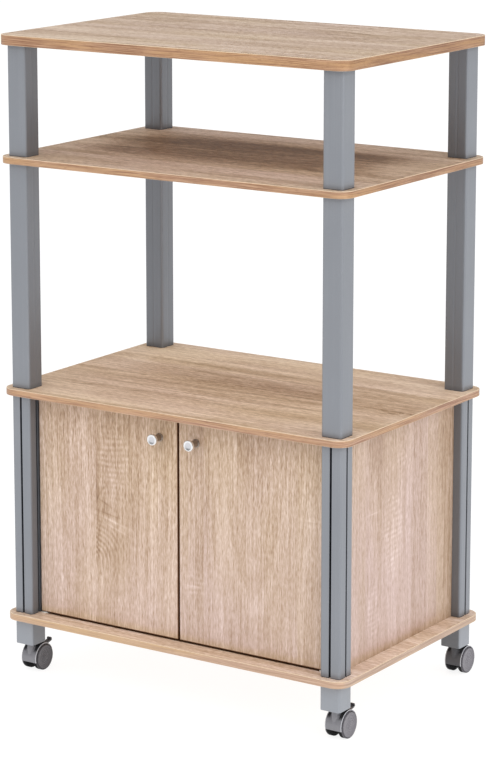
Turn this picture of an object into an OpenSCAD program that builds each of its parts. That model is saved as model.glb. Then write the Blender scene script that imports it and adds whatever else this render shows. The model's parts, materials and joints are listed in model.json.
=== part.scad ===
// Microwave cart: four boards on square posts, a two-door cabinet below and four twin-wheel casters.
// Origin on the floor under the middle of the cart's outline, +Z up, front towards -Y.

/* [Boards] */
// Width of every board, left to right
board_w = 600; // [520:10:900]
// Depth of every board, front to back
board_d = 400; // [340:10:600]
// Thickness of the top board
top_t = 15; // [12:1:25]
// Thickness of the two shelves and the bottom board
shelf_t = 10; // [9:1:18]
// Radius of the boards' corners
corner_r = 22; // [12:1:30]
// Thickness of the edge band glued round each board
band_t = 1; // [0.6:0.1:2]

/* [Levels] */
// Clear height between the upper shelf and the top board
upper_clear = 164; // [100:2:300]
// Clear height of the microwave bay
middle_clear = 338; // [240:2:500]
// Clear height of the cabinet
lower_clear = 338; // [200:2:500]

/* [Posts] */
// Side of the square posts
post_s = 33; // [30:1:42]
// Radius of the posts' corners
post_r = 4; // [2:0.5:6]
// Wall of the post tubes
post_wall = 2; // [1.5:0.1:3]
// Distance from the board's edges to the middle of each post
post_inset = 28.5; // [24:0.5:45]
// Width of the grooves in the lower posts
slot_w = 3.6; // [3.2:0.1:5]
// Depth of the grooves in the lower posts
slot_d = 8; // [5:0.5:8]
// Depth of the shallow flute on the inward faces of the upper and middle posts
flute_d = 0.4; // [0.2:0.1:0.8]
// Radius of that flute
flute_r = 6; // [3:1:10]

/* [Joints between posts] */
// Radius of the joining studs
stud_r = 4; // [3:0.5:5]
// How far a stud reaches into a post, an end plug or a foot block
stud_reach = 12; // [8:1:14]
// Depth of the threaded inserts in the top board
insert_h = 10; // [7:0.5:11]
// Wall of the threaded inserts
insert_wall = 2; // [1:0.5:3]
// Height of the end plugs in the tubes
plug_h = 14; // [14:1:30]
// Radial clearance of studs and stems in their bores
bore_fit = 0.1; // [0.05:0.05:0.2]

/* [Panels] */
// Thickness of the side panels and the back panel
panel_t = 3; // [2.4:0.1:3]
// Distance from a panel's edge to the bottom of its groove
panel_play = 0.5; // [0.3:0.1:1]

/* [Doors] */
// Thickness of the doors
door_t = 10; // [9:1:16]
// Distance from the front of the post to the front of the doors
door_setback = 19; // [12:1:22]
// Gap between each door and its post
door_side_gap = 2.2; // [1.5:0.1:4]
// Gap between the two doors
door_mid_gap = 3; // [2:0.2:5]
// Gap above and below the doors
door_end_gap = 2.5; // [2:0.1:4]
// Rounding of the doors' upright edges
door_edge_r = 2; // [1:0.5:3]
// Distance from a door's outer edge to its pivot
pivot_inset = 5.5; // [5:0.5:8]

/* [Door fittings] */
// Radius of the pivot pins
pin_r = 3; // [2:0.25:3]
// Length of a pivot pin inside the door
pin_in_door = 20; // [10:1:30]
// Depth of the bushes in the boards
bush_h = 7; // [4:0.5:7]
// Wall of the bushes
bush_wall = 1.5; // [1:0.25:2]
// Thickness of the bush's flange
bush_flange_t = 1; // [0.6:0.1:1]
// Width of the flange round the bush
bush_flange_w = 2; // [1:0.5:3]
// Radial running clearance of pins, axles and pivots
run_fit = 0.05; // [0.02:0.01:0.1]
// Diameter of the knob's head
knob_d = 16.5; // [12:0.5:24]
// How far the knob stands off the door
knob_len = 21; // [15:1:30]
// Radius of the knob's stem
knob_stem_r = 4; // [3:0.5:5]
// Distance from the door's free edge to the knob
knob_edge = 30.5; // [22:0.5:60]
// Distance from the door's top to the knob
knob_drop = 32.5; // [24:0.5:80]
// Radius of the knob's screw
screw_r = 2; // [1.5:0.25:2.5]

/* [Magnetic catch] */
// Width of the catch's housing
catch_w = 50; // [40:2:80]
// Depth of the catch's housing
catch_d = 15; // [12:1:25]
// Height of the catch's housing
catch_h = 13; // [10:1:20]
// Thickness of the strike plates
strike_t = 1.2; // [0.8:0.1:2]
// Gap between a magnet and its strike plate
magnet_gap = 0.3; // [0.3:0.1:0.6]

/* [Feet and casters] */
// Height of the foot blocks
foot_h = 39; // [38:1:60]
// Wall of the foot blocks
foot_wall = 2.5; // [2:0.25:4]
// Height of the casters, floor to foot block
caster_h = 46; // [44:0.5:60]
// Radius of the wheels
wheel_r = 20; // [17:0.5:21]
// Width of one wheel
wheel_w = 8.5; // [7:0.5:12]
// Half of the space between a caster's two wheels
wheel_in = 6.8; // [6.8:0.1:9]
// Distance from the swivel axis back to the wheel axle
trail = 15; // [12:0.5:18]
// Radius of the axles
axle_r = 2.5; // [2:0.25:3]
// Radius of the caster stems
stem_r = 3.5; // [3:0.25:3.75]
// Length of a caster stem inside its foot block
stem_reach = 22; // [14:1:24]
// Radius of the neck on the caster housing
neck_r = 5.5; // [5:0.25:6]
// Gap between a wheel and the hood over it
hood_gap = 0.4; // [0.3:0.1:1]
// Thickness of the hood
hood_t = 1.1; // [0.9:0.1:2]
// How far each wheel stands out sideways beyond the hood
hood_inset = 2; // [0.5:0.5:3]
// Width of the brake levers
lever_w = 8; // [6:0.5:8]

/* [Hidden] */
$fn = 64;

// colours
wood = "#c8ad8c";
band_wood = "#cd9f7a";
silver = "#8f969d";
foot_grey = "#a5adb3";
steel = "#b9bcc0";
caster_grey = "#9b9a9e";
dark = "#3c3a3a";
cream = "#d9d4c8";

// sides of the cart
LEFT = -1;
RIGHT = 1;
FRONT = -1;
BACK = 1;

// heights above the floor
foot_z = caster_h;
bottom_z = foot_z + foot_h;
cabinet_z = bottom_z + shelf_t;
middle_z = cabinet_z + lower_clear;
bay_z = middle_z + shelf_t;
upper_z = bay_z + middle_clear;
space_z = upper_z + shelf_t;
top_z = space_z + upper_clear;

// The rear wheels stand out behind the boards, so the boards sit forward of the outline's middle.
post_x = board_w / 2 - post_inset;
post_y = board_d / 2 - post_inset;
hood_r = wheel_r + hood_gap + hood_t;
hood_back_angle = 22;
rear_reach = max(wheel_r, hood_r * cos(hood_back_angle));
rear_overhang = max(0, post_y + trail + rear_reach - board_d / 2);
cart_y = -rear_overhang / 2;
CORNERS = [[LEFT, FRONT], [RIGHT, FRONT], [LEFT, BACK], [RIGHT, BACK]];

// posts
post_in = post_s - 2 * post_wall;
post_in_r = max(0.5, post_r - post_wall);
groove_wall = 1.6;
core_overlap = 0.4;
core_r = max(stud_r + bore_fit + groove_wall, post_s / 2 - slot_d - groove_wall + core_overlap);
plug_fit = 0.15;
blind_end = 1;

// feet
boss_wall = 3.5;
rib_t = 2;
rib_set = 2;

// doors
door_side = post_x - post_s / 2 - door_side_gap;
door_w = door_side - door_mid_gap / 2;
door_z = cabinet_z + door_end_gap;
door_h = lower_clear - 2 * door_end_gap;
door_front = -post_y - post_s / 2 + door_setback;
door_back = door_front + door_t;
pivot_x = door_side - pivot_inset;
pivot_y = door_front + door_t / 2;
knob_x = door_mid_gap / 2 + knob_edge;
knob_z = door_z + door_h - knob_drop;
knob_base_lip = 1.5;
knob_base_r = knob_stem_r + knob_base_lip;
knob_base_t = 2;
knob_head_t = 5;
knob_rim = 1;
knob_flare = 3;
knob_dish = 1.2;
knob_dish_rim = 3;
knob_bore = 10;
screw_head_r = 4;
screw_head_t = 2.4;
head_taper = 1;
screw_in_knob = 8;
recess_l = 4;
recess_w = 0.8;
recess_h = 1.2;
pin_collar_w = 2;
pin_collar_r = pin_r + pin_collar_w;
rest_gap = 0.3;
collar_t = door_end_gap - bush_flange_t - rest_gap;
bush_floor = 0.4;
seat_fit = 0.05;
bush_r = pin_r + run_fit + bush_wall;
insert_r = stud_r + bore_fit + insert_wall;

// magnetic catch
magnet_w = 14;
magnet_h = 5;
magnet_d = 4;
magnet_z = middle_z - (catch_h + magnet_h) / 2;
magnet_inset = 1;
magnet_x = catch_w / 4 - magnet_inset;
catch_front = door_back + strike_t + magnet_gap;
catch_screw_r = 1.5;
catch_screw_head_r = 3;
catch_screw_head_t = 1.5;
catch_edge = 0.5;
catch_screw_in = 7;
catch_screw_edge = 4;
catch_screw_x = catch_w / 2 - catch_screw_edge;
strike_w = 18;
strike_h = 12;
strike_drop = 0.5;
strike_z = door_z + door_h - strike_h - strike_drop;

// casters
neck_gap = 0.4;
neck_top = caster_h - neck_gap;
neck_rise = 4;
neck_base = wheel_r + neck_rise;
stem_rise = 10;
stem_base = wheel_r + stem_rise;
stem_end_gap = 0.3;
wheel_side_gap = 1;
web_half = wheel_in - wheel_side_gap;
wheel_out = wheel_in + wheel_w;
hood_half = wheel_out - hood_inset;
hood_front_drop = 14;
axle_boss_wall = 3;
axle_boss_r = axle_r + axle_boss_wall;
axle_end_gap = 0.5;
wheel_edge_r = 1.5;
wheel_bore_rest = 2;
wheel_cap_edge = 2.5;
wheel_cap_r = wheel_r - wheel_cap_edge;
wheel_cap_rise = 0.5;
lever_pivot = [10, 12];
lever_eye_r = 3.2;
lever_trunnion_r = 1.5;
lever_tip = [30, 16.5];
lever_t = 2;
lever_lip_h = 5;
lever_side_gap = 0.3;
lever_lip_r = 1;
lever_slot_rise = 4;
lever_slot_start = axle_boss_r + lever_slot_rise;
trunnion_end_gap = 0.2;
lever_slot_low = 26;
lever_slot_high = 58;
lever_eye_gap = 0.6;
lever_pocket_r = lever_eye_r + lever_eye_gap;

// overlaps that only help cutting and joining
cut = 1;
tiny = 0.01;

// ---------- shared shapes ----------

module in_cart() {
    translate([0, cart_y, 0])
        children();
}

module at_corner(side, end) {
    in_cart()
        translate([side * post_x, end * post_y, 0])
            children();
}

module rounded_square(w, d, r) {
    square([w - 2 * r, d], center = true);
    square([w, d - 2 * r], center = true);
    for (x = [-1, 1], y = [-1, 1])
        translate([x * (w / 2 - r), y * (d / 2 - r)])
            circle(r = r);
}

module rounded_block(w, d, h, r) {
    linear_extrude(h)
        rounded_square(w, d, r);
}

// A board without its edge band
module board_core(z, t) {
    translate([0, 0, z])
        rounded_block(board_w - 2 * band_t, board_d - 2 * band_t, t, corner_r - band_t);
}

module edge_band(z, t) {
    translate([0, 0, z])
        linear_extrude(t)
            difference() {
                rounded_square(board_w, board_d, corner_r);
                rounded_square(board_w - 2 * band_t, board_d - 2 * band_t, corner_r - band_t);
            }
}

// Clearance holes for the joining studs, through a board at every corner
module stud_holes(z, t) {
    for (c = CORNERS)
        translate([c[0] * post_x, c[1] * post_y, z - cut])
            cylinder(h = t + 2 * cut, r = stud_r + bore_fit);
}

// Blind seats for the pivot bushes, open at height z; up is 1 where they go up into the board
module bush_seats(z, up) {
    for (side = [LEFT, RIGHT])
        translate([side * pivot_x, pivot_y, z - (up == 1 ? cut : bush_h)])
            cylinder(h = bush_h + cut, r = bush_r + seat_fit);
}

// ---------- boards ----------

module top_board() {
    color(wood)
        in_cart()
            difference() {
                board_core(top_z, top_t);
                for (c = CORNERS)
                    translate([c[0] * post_x, c[1] * post_y, top_z - cut])
                        cylinder(h = insert_h + cut, r = insert_r + seat_fit);
            }
}

module upper_shelf() {
    color(wood)
        in_cart()
            difference() {
                board_core(upper_z, shelf_t);
                stud_holes(upper_z, shelf_t);
            }
}

module middle_shelf() {
    color(wood)
        in_cart()
            difference() {
                board_core(middle_z, shelf_t);
                stud_holes(middle_z, shelf_t);
                bush_seats(middle_z, 1);
                for (x = [-1, 1])
                    translate([x * catch_screw_x, catch_front + catch_d / 2, middle_z - cut])
                        cylinder(h = catch_screw_in + cut, r = catch_screw_r + bore_fit);
            }
}

module bottom_board() {
    color(wood)
        in_cart()
            difference() {
                board_core(bottom_z, shelf_t);
                stud_holes(bottom_z, shelf_t);
                bush_seats(cabinet_z, 0);
            }
}

module edge_bands() {
    color(band_wood)
        in_cart() {
            edge_band(top_z, top_t);
            edge_band(upper_z, shelf_t);
            edge_band(middle_z, shelf_t);
            edge_band(bottom_z, shelf_t);
        }
}

// ---------- posts ----------

// Round-cornered tube with a shallow flute on the two faces that look into the cart
module tube_outline(side, end) {
    difference() {
        rounded_square(post_s, post_s, post_r);
        rounded_square(post_in, post_in, post_in_r);
        translate([-side * (post_s / 2 + flute_r - flute_d), 0])
            circle(r = flute_r);
        translate([0, -end * (post_s / 2 + flute_r - flute_d)])
            circle(r = flute_r);
    }
}

// Grooved profile: a groove in each face, four corner chambers and a bored core for the studs
module grooved_outline() {
    difference() {
        union() {
            difference() {
                rounded_square(post_s, post_s, post_r);
                rounded_square(post_in, post_in, post_in_r);
            }
            circle(r = core_r);
            for (a = [0, 90, 180, 270])
                rotate(a)
                    translate([post_s / 2 - post_wall - tiny, 0])
                        groove_channel();
        }
        circle(r = stud_r + bore_fit);
        for (a = [0, 90, 180, 270])
            rotate(a)
                translate([post_s / 2 - slot_d, -slot_w / 2])
                    square([slot_d + cut, slot_w]);
    }
}

// Walls of one groove, from the post's wall in to the core
module groove_channel() {
    channel_d = slot_d - post_wall + groove_wall;
    translate([-channel_d, -slot_w / 2 - groove_wall])
        square([channel_d + 2 * tiny, slot_w + 2 * groove_wall]);
}

// Open tube from height z, h long
module tube_post(side, end, z, h) {
    color(silver)
        at_corner(side, end)
            translate([0, 0, z])
                linear_extrude(h)
                    tube_outline(side, end);
}

module lower_post(side, end) {
    color(silver)
        at_corner(side, end)
            translate([0, 0, cabinet_z])
                linear_extrude(lower_clear)
                    grooved_outline();
}

module end_plug(z) {
    plug_s = post_in - 2 * plug_fit;
    translate([0, 0, z])
        difference() {
            rounded_block(plug_s, plug_s, plug_h, post_in_r);
            translate([0, 0, -cut])
                cylinder(h = plug_h + 2 * cut, r = stud_r + bore_fit);
        }
}

module post_end_plugs() {
    color(dark)
        for (c = CORNERS)
            at_corner(c[0], c[1]) {
                end_plug(bay_z);
                end_plug(upper_z - plug_h);
                end_plug(space_z);
                end_plug(top_z - plug_h);
            }
}

module stud(low, high) {
    chamfer = 0.8;
    translate([0, 0, low]) {
        cylinder(h = chamfer, r1 = stud_r - chamfer, r2 = stud_r);
        translate([0, 0, chamfer])
            cylinder(h = high - low - 2 * chamfer, r = stud_r);
        translate([0, 0, high - low - chamfer])
            cylinder(h = chamfer, r1 = stud_r, r2 = stud_r - chamfer);
    }
}

module joining_studs() {
    color(steel)
        for (c = CORNERS)
            at_corner(c[0], c[1]) {
                stud(top_z - stud_reach, top_z + insert_h - blind_end);
                stud(upper_z - stud_reach, space_z + stud_reach);
                stud(middle_z - stud_reach, bay_z + stud_reach);
                stud(bottom_z - stud_reach, cabinet_z + stud_reach);
            }
}

module top_board_inserts() {
    color("goldenrod")
        for (c = CORNERS)
            at_corner(c[0], c[1])
                translate([0, 0, top_z])
                    difference() {
                        cylinder(h = insert_h, r = insert_r);
                        translate([0, 0, -cut])
                            cylinder(h = insert_h + 2 * cut, r = stud_r + bore_fit);
                    }
}

// ---------- panels ----------

module side_panel(side) {
    panel_l = 2 * (post_y - post_s / 2 + slot_d - panel_play);
    color(wood)
        in_cart()
            translate([side * post_x - panel_t / 2, -panel_l / 2, cabinet_z])
                cube([panel_t, panel_l, lower_clear]);
}

module back_panel() {
    panel_l = 2 * (post_x - post_s / 2 + slot_d - panel_play);
    color(wood)
        in_cart()
            translate([-panel_l / 2, post_y - panel_t / 2, cabinet_z])
                cube([panel_l, panel_t, lower_clear]);
}

// ---------- doors ----------

module door(side) {
    color(wood)
        in_cart()
            difference() {
                translate([side * (door_mid_gap / 2 + door_w / 2), pivot_y, door_z])
                    rounded_block(door_w, door_t, door_h, door_edge_r);
                for (z = [door_z - cut, door_z + door_h - pin_in_door])
                    translate([side * pivot_x, pivot_y, z])
                        cylinder(h = pin_in_door + cut, r = pin_r + run_fit);
                translate([side * knob_x, door_front - cut, knob_z])
                    rotate([-90, 0, 0])
                        cylinder(h = door_t + 2 * cut, r = screw_r + bore_fit);
            }
}

// Turned knob: base flange, stem, flared head with a dished face
module knob(side) {
    head_r = knob_d / 2;
    head_z = knob_len - knob_head_t;
    color(steel)
        in_cart()
            translate([side * knob_x, door_front, knob_z])
                rotate([90, 0, 0])
                    difference() {
                        union() {
                            cylinder(h = knob_base_t, r = knob_base_r);
                            cylinder(h = head_z + knob_rim, r = knob_stem_r);
                            translate([0, 0, head_z - knob_flare])
                                cylinder(h = knob_flare, r1 = knob_stem_r, r2 = head_r - knob_rim);
                            translate([0, 0, head_z])
                                cylinder(h = knob_rim, r1 = head_r - knob_rim, r2 = head_r);
                            translate([0, 0, head_z + knob_rim])
                                cylinder(h = knob_head_t - 2 * knob_rim, r = head_r);
                            translate([0, 0, knob_len - knob_rim])
                                cylinder(h = knob_rim, r1 = head_r, r2 = head_r - knob_rim);
                        }
                        translate([0, 0, -cut])
                            cylinder(h = knob_bore + cut, r = screw_r + bore_fit);
                        translate([0, 0, knob_len - knob_dish])
                            cylinder(h = 2 * knob_dish, r1 = head_r - knob_dish_rim, r2 = head_r);
                    }
}

module knob_screw(side) {
    color(steel)
        in_cart()
            translate([side * knob_x, door_back, knob_z])
                rotate([90, 0, 0]) {
                    cylinder(h = door_t + screw_in_knob, r = screw_r);
                    difference() {
                        translate([0, 0, -screw_head_t])
                            cylinder(h = screw_head_t, r1 = screw_head_r - head_taper, r2 = screw_head_r);
                        for (a = [0, 90])
                            rotate(a)
                                translate([-recess_l / 2, -recess_w / 2, -screw_head_t - cut])
                                    cube([recess_l, recess_w, recess_h + cut]);
                    }
                }
}

// ---------- door pivots ----------

// A pin with its collar against the door's end; flip turns it over for the top of the door
module door_pin(flip) {
    reach = door_end_gap + bush_h - bush_floor - rest_gap;
    mirror([0, 0, flip]) {
        translate([0, 0, -reach])
            cylinder(h = reach + pin_in_door - blind_end, r = pin_r);
        translate([0, 0, -collar_t])
            cylinder(h = collar_t, r = pin_collar_r);
    }
}

module door_pins(side) {
    color(steel)
        in_cart()
            translate([side * pivot_x, pivot_y, 0]) {
                translate([0, 0, door_z])
                    door_pin(0);
                translate([0, 0, door_z + door_h])
                    door_pin(1);
            }
}

module pivot_bush(flip) {
    mirror([0, 0, flip])
        difference() {
            union() {
                translate([0, 0, -bush_h])
                    cylinder(h = bush_h, r = bush_r);
                cylinder(h = bush_flange_t, r = bush_r + bush_flange_w);
            }
            translate([0, 0, bush_floor - bush_h])
                cylinder(h = bush_h + bush_flange_t + cut, r = pin_r + run_fit);
        }
}

module pivot_bushes() {
    color(cream)
        in_cart()
            for (side = [LEFT, RIGHT])
                translate([side * pivot_x, pivot_y, 0]) {
                    translate([0, 0, cabinet_z])
                        pivot_bush(0);
                    translate([0, 0, middle_z])
                        pivot_bush(1);
                }
}

// ---------- magnetic catch ----------

module magnet_places() {
    for (side = [LEFT, RIGHT])
        in_cart()
            translate([side * magnet_x - magnet_w / 2, catch_front, magnet_z])
                children();
}

module catch_housing() {
    color(cream)
        difference() {
            in_cart()
                translate([-catch_w / 2, catch_front + catch_edge, middle_z - catch_h])
                    cube([catch_w, catch_d - catch_edge, catch_h]);
            magnet_places()
                cube([magnet_w, magnet_d, magnet_h]);
            in_cart()
                for (x = [-1, 1])
                    translate([x * catch_screw_x, catch_front + catch_d / 2, middle_z - catch_h - cut])
                        cylinder(h = catch_h + 2 * cut, r = catch_screw_r + bore_fit);
        }
}

module catch_magnets() {
    color(dark)
        magnet_places()
            cube([magnet_w, magnet_d, magnet_h]);
}

module catch_screws() {
    color(steel)
        in_cart()
            for (x = [-1, 1])
                translate([x * catch_screw_x, catch_front + catch_d / 2, middle_z - catch_h]) {
                    cylinder(h = catch_h + catch_screw_in - blind_end, r = catch_screw_r);
                    translate([0, 0, -catch_screw_head_t])
                        cylinder(h = catch_screw_head_t, r1 = catch_screw_head_r - head_taper,
                            r2 = catch_screw_head_r);
                }
}

module strike_plate(side) {
    color(steel)
        in_cart()
            translate([side * magnet_x - strike_w / 2, door_back, strike_z])
                cube([strike_w, strike_t, strike_h]);
}

// ---------- feet ----------

// Open-bottomed block with a central boss and cross ribs
module foot(side, end) {
    boss_r = max(stem_r, stud_r) + bore_fit + boss_wall;
    color(foot_grey)
        at_corner(side, end)
            difference() {
                translate([0, 0, foot_z])
                    union() {
                        difference() {
                            rounded_block(post_s, post_s, foot_h, post_r);
                            translate([0, 0, -cut])
                                rounded_block(post_s - 2 * foot_wall, post_s - 2 * foot_wall,
                                    foot_h - foot_wall + cut, post_in_r);
                        }
                        cylinder(h = foot_h, r = boss_r);
                        for (a = [0, 90])
                            rotate(a)
                                translate([-(post_s - foot_wall) / 2, -rib_t / 2, rib_set])
                                    cube([post_s - foot_wall, rib_t, foot_h - rib_set]);
                    }
                translate([0, 0, foot_z - cut])
                    cylinder(h = stem_reach + cut, r = stem_r + bore_fit);
                translate([0, 0, bottom_z - stud_reach - blind_end])
                    cylinder(h = stud_reach + blind_end + cut, r = stud_r + bore_fit);
            }
}

module caster_stems() {
    color(steel)
        for (c = CORNERS)
            at_corner(c[0], c[1])
                translate([0, 0, stem_base + stem_end_gap])
                    cylinder(h = foot_z + stem_reach - blind_end - stem_base - stem_end_gap, r = stem_r);
}

// ---------- casters ----------

// Children are drawn in the wheel's own plane, with the axle along Z there
module on_axle(side, end) {
    at_corner(side, end)
        translate([0, trail, wheel_r])
            rotate([90, 0, 90])
                children();
}

// Pie slice about the axle, from the hood's low front edge over the top to its back edge
module hood_sector(r, half) {
    rotate([0, 0, hood_back_angle])
        rotate_extrude(angle = 180 + hood_front_drop - hood_back_angle)
            translate([0, -half])
                square([r, 2 * half]);
}

module caster(side, end, braked) {
    color(caster_grey)
        difference() {
            union() {
                on_axle(side, end)
                    difference() {
                        hood_sector(hood_r, hood_half);
                        for (s = [0, 1])
                            mirror([0, 0, s])
                                translate([0, 0, web_half])
                                    cylinder(h = hood_half - web_half + cut, r = wheel_r + hood_gap);
                    }
                on_axle(side, end)
                    cylinder(h = 2 * web_half, r = axle_boss_r, center = true);
                at_corner(side, end)
                    translate([0, 0, neck_base])
                        cylinder(h = neck_top - neck_base, r = neck_r);
            }
            on_axle(side, end)
                cylinder(h = 2 * (web_half + cut), r = axle_r + run_fit, center = true);
            at_corner(side, end)
                translate([0, 0, stem_base])
                    cylinder(h = neck_top - stem_base + cut, r = stem_r + run_fit);
            if (braked)
                on_axle(side, end)
                    lever_pocket();
        }
}

// Room for the brake lever: a slot through the hood, a round pocket and two trunnion holes
module lever_pocket() {
    half = lever_w / 2 + lever_side_gap;
    rotate([0, 0, lever_slot_low])
        rotate_extrude(angle = lever_slot_high - lever_slot_low)
            translate([lever_slot_start, -half])
                square([hood_r, 2 * half]);
    translate([lever_pivot[0], lever_pivot[1], 0]) {
        cylinder(h = 2 * half, r = lever_pocket_r, center = true);
        cylinder(h = 2 * (web_half + cut), r = lever_trunnion_r + run_fit, center = true);
    }
}

module brake_lever(side) {
    reach = norm(lever_tip - lever_pivot);
    slope = atan2(lever_tip[1] - lever_pivot[1], lever_tip[0] - lever_pivot[0]);
    color(dark)
        on_axle(side, FRONT)
            translate([lever_pivot[0], lever_pivot[1], 0])
                rotate([0, 0, slope]) {
                    cylinder(h = lever_w, r = lever_eye_r, center = true);
                    cylinder(h = 2 * (web_half - trunnion_end_gap), r = lever_trunnion_r, center = true);
                    translate([0, -lever_t / 2, -lever_w / 2])
                        cube([reach, lever_t, lever_w]);
                    translate([reach, lever_lip_h / 2 - lever_t / 2, 0])
                        rotate([0, 90, 0])
                            rounded_block(lever_w, lever_lip_h, lever_t, lever_lip_r);
                }
}

module axle(side, end) {
    color(steel)
        on_axle(side, end)
            cylinder(h = 2 * (wheel_out - wheel_bore_rest - axle_end_gap), r = axle_r, center = true);
}

// A wheel with a raised cap on its outer face; out is the way that face looks
module wheel(side, end, out) {
    color(caster_grey)
        on_axle(side, end)
            mirror([0, 0, out < 0 ? 1 : 0])
                translate([0, 0, wheel_in])
                    rotate_extrude($fn = 96)
                        difference() {
                            wheel_profile();
                            square([axle_r + run_fit, wheel_w - wheel_bore_rest]);
                        }
}

module wheel_profile() {
    flat_w = wheel_w - wheel_cap_rise;
    square([wheel_r - wheel_edge_r, flat_w]);
    translate([0, wheel_edge_r])
        square([wheel_r, flat_w - 2 * wheel_edge_r]);
    for (y = [wheel_edge_r, flat_w - wheel_edge_r])
        translate([wheel_r - wheel_edge_r, y])
            circle(r = wheel_edge_r);
    square([wheel_cap_r, wheel_w]);
}

// ---------- assembly ----------

top_board();
upper_shelf();
middle_shelf();
bottom_board();
edge_bands();
tube_post(LEFT, FRONT, space_z, upper_clear);  // upper_post_front_left
tube_post(RIGHT, FRONT, space_z, upper_clear);  // upper_post_front_right
tube_post(LEFT, BACK, space_z, upper_clear);  // upper_post_back_left
tube_post(RIGHT, BACK, space_z, upper_clear);  // upper_post_back_right
tube_post(LEFT, FRONT, bay_z, middle_clear);  // middle_post_front_left
tube_post(RIGHT, FRONT, bay_z, middle_clear);  // middle_post_front_right
tube_post(LEFT, BACK, bay_z, middle_clear);  // middle_post_back_left
tube_post(RIGHT, BACK, bay_z, middle_clear);  // middle_post_back_right
lower_post(LEFT, FRONT);  // lower_post_front_left
lower_post(RIGHT, FRONT);  // lower_post_front_right
lower_post(LEFT, BACK);  // lower_post_back_left
lower_post(RIGHT, BACK);  // lower_post_back_right
post_end_plugs();
joining_studs();
top_board_inserts();
side_panel(LEFT);  // left_side_panel
side_panel(RIGHT);  // right_side_panel
back_panel();
door(LEFT);  // left_door
door(RIGHT);  // right_door
knob(LEFT);  // left_knob
knob(RIGHT);  // right_knob
knob_screw(LEFT);  // left_knob_screw
knob_screw(RIGHT);  // right_knob_screw
door_pins(LEFT);  // left_door_pins
door_pins(RIGHT);  // right_door_pins
pivot_bushes();
catch_housing();
catch_magnets();
catch_screws();
strike_plate(LEFT);  // left_strike_plate
strike_plate(RIGHT);  // right_strike_plate
foot(LEFT, FRONT);  // foot_front_left
foot(RIGHT, FRONT);  // foot_front_right
foot(LEFT, BACK);  // foot_back_left
foot(RIGHT, BACK);  // foot_back_right
caster_stems();
caster(LEFT, FRONT, true);  // caster_front_left
caster(RIGHT, FRONT, true);  // caster_front_right
caster(LEFT, BACK, false);  // caster_back_left
caster(RIGHT, BACK, false);  // caster_back_right
axle(LEFT, FRONT);  // axle_front_left
axle(RIGHT, FRONT);  // axle_front_right
axle(LEFT, BACK);  // axle_back_left
axle(RIGHT, BACK);  // axle_back_right
wheel(LEFT, FRONT, -1);  // wheel_front_left_a
wheel(LEFT, FRONT, 1);  // wheel_front_left_b
wheel(RIGHT, FRONT, -1);  // wheel_front_right_a
wheel(RIGHT, FRONT, 1);  // wheel_front_right_b
wheel(LEFT, BACK, -1);  // wheel_back_left_a
wheel(LEFT, BACK, 1);  // wheel_back_left_b
wheel(RIGHT, BACK, -1);  // wheel_back_right_a
wheel(RIGHT, BACK, 1);  // wheel_back_right_b
brake_lever(LEFT);  // brake_lever_left
brake_lever(RIGHT);  // brake_lever_right
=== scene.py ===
import json
import math

import bmesh
import bpy
from mathutils import Matrix, Vector


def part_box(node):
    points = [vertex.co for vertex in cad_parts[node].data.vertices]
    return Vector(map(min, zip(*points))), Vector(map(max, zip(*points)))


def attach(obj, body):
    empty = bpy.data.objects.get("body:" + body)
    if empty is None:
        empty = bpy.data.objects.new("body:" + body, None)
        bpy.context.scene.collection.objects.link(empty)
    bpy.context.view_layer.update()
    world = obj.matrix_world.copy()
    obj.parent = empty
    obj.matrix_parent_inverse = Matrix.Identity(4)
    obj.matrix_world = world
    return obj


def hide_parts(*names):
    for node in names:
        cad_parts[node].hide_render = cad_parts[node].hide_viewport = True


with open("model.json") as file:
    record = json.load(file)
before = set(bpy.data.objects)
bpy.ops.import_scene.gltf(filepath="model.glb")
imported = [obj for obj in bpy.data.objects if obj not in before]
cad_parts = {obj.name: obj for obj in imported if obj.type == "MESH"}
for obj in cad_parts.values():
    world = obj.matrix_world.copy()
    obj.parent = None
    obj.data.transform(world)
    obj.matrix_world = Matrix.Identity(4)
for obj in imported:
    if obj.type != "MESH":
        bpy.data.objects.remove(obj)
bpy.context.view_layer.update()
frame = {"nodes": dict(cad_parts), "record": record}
nodes = frame["nodes"]
mm = 0.001
print("frame loaded:", len(nodes), "nodes")


# camera, floor and light
camera = {
    "spot": (2.307, -3.4755, 1.4237),  # where the picture was taken from
    "turn": 33.594,
    "tilt": 10.849,
    "lens": 135.47,
    "sensor": 36.0,
    "shift": (0.0, -0.15),
}

studio = {
    "view": "Standard",
    "skyColour": (0.985, 0.99, 1.0),
    "sky": 1.08,
    "mirrored": 0.16,  # what gloss sees of the sky, as if dark cloths hung round the set
    "floorSide": 80.0,
    "floorColour": (0.2, 0.2, 0.2),
    "floorGlow": 4.3,  # the sweep is lit from behind, as on a light table
    "aim": (0.0, 0.0, 0.5),
    "lamps": {
        "windowRight": {"spot": (3.6, -0.6, 2.2), "size": (2.4, 2.4), "power": 38.0},
        "windowFront": {"spot": (0.3, -3.0, 3.2), "size": (2.8, 2.4), "power": 34.0},
    },
}


def placeCamera():
    data = bpy.data.cameras.new("camera")
    data.sensor_width = camera["sensor"]
    data.lens = camera["lens"]
    data.shift_x, data.shift_y = camera["shift"]
    data.clip_start, data.clip_end = 0.1, 200.0
    stand = bpy.data.objects.new("camera", data)
    stand.location = camera["spot"]
    stand.rotation_euler = (math.radians(90 - camera["tilt"]), 0, math.radians(camera["turn"]))
    bpy.context.scene.collection.objects.link(stand)
    bpy.context.scene.camera = stand


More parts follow.
